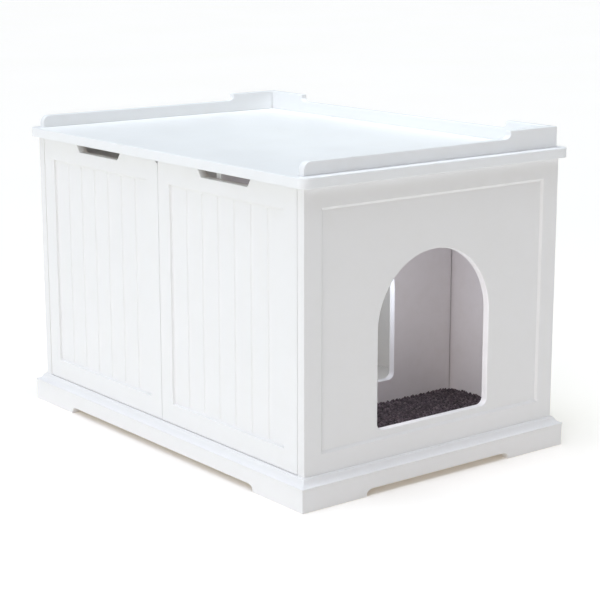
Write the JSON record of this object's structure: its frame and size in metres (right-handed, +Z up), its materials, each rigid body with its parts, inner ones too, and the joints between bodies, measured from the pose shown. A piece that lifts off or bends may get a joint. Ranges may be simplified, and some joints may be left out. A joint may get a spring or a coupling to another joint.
{
  "type": "cat litter box cabinet",
  "caption": "Low white cabinet that hides a litter pan, with beadboard doors on hidden pivots, an arched entry in one end, a divider with its own arch, a gallery rail and a bracket-foot plinth.",
  "frame": {"origin": "on the floor, at the middle of the footprint", "axes": "+Z up, doors face -Y, arched entry faces +X"},
  "size_m": [0.7462, 0.5212, 0.503],
  "materials": {
    "paint_top": "satin white paint on fibreboard, slightly cool",
    "paint_panels": "satin white paint on fibreboard",
    "paint_inner": "satin white paint on fibreboard, thinner coat inside",
    "paint_plinth": "satin white paint on moulded fibreboard",
    "raw_wood": "bare sawn softwood",
    "nylon": "moulded nylon",
    "steel": "bright turned steel",
    "zinc": "zinc plated, dull",
    "magnet": "black magnet between dark pole plates",
    "carpet": "charcoal loop pile on a thin rubber backing"
  },
  "bodies": {
    "cabinet": {"top_panel": "paint_top", "gallery_rail_left": "paint_top", "gallery_rail_right": "paint_top", "gallery_rail_rear": "paint_top", "side_panel_left": "paint_panels", "side_panel_arch": "paint_panels", "back_panel": "paint_inner", "bottom_panel": "paint_inner", "divider_panel": "paint_inner", "plinth_front": "paint_plinth", "plinth_back": "paint_plinth", "plinth_left": "paint_plinth", "plinth_right": "paint_plinth", "corner_block_front_left": "raw_wood", "corner_block_front_right": "raw_wood", "corner_block_rear_left": "raw_wood", "corner_block_rear_right": "raw_wood", "pivot_bush_left_top": "nylon", "pivot_bush_left_bottom": "nylon", "pivot_bush_right_top": "nylon", "pivot_bush_right_bottom": "nylon", "catch_housing_left": "nylon", "catch_housing_right": "nylon", "top_bolt_left_front": "steel", "top_bolt_left_rear": "steel", "top_bolt_arch_front": "steel", "top_bolt_arch_rear": "steel", "base_bolt_left_front": "steel", "base_bolt_left_rear": "steel", "base_bolt_arch_front": "steel", "base_bolt_arch_rear": "steel", "top_cam_left_front": "zinc", "top_cam_left_rear": "zinc", "top_cam_arch_front": "zinc", "top_cam_arch_rear": "zinc", "base_cam_left_front": "zinc", "base_cam_left_rear": "zinc", "base_cam_arch_front": "zinc", "base_cam_arch_rear": "zinc", "catch_screw_left_a": "zinc", "catch_screw_left_b": "zinc", "catch_screw_right_a": "zinc", "catch_screw_right_b": "zinc", "catch_magnet_left": "magnet", "catch_magnet_right": "magnet", "entry_mat": "carpet"},
    "door_left": {"door_left": "paint_panels", "pivot_pin_left_top": "steel", "pivot_pin_left_bottom": "steel", "strike_plate_left": "zinc", "strike_screw_left": "zinc"},
    "door_right": {"door_right": "paint_panels", "pivot_pin_right_top": "steel", "pivot_pin_right_bottom": "steel", "strike_plate_right": "zinc", "strike_screw_right": "zinc"}
  },
  "joints": [
    {"name": "door_left_hinge", "type": "hinge", "parent": "cabinet", "child": "door_left", "pos_m": [-0.3281, -0.2405, 0.251], "axis": [0, 0, -1], "range_deg": [0, 110]},
    {"name": "door_right_hinge", "type": "hinge", "parent": "cabinet", "child": "door_right", "pos_m": [0.3281, -0.2405, 0.251], "axis": [0, 0, 1], "range_deg": [0, 110]}
  ]
}
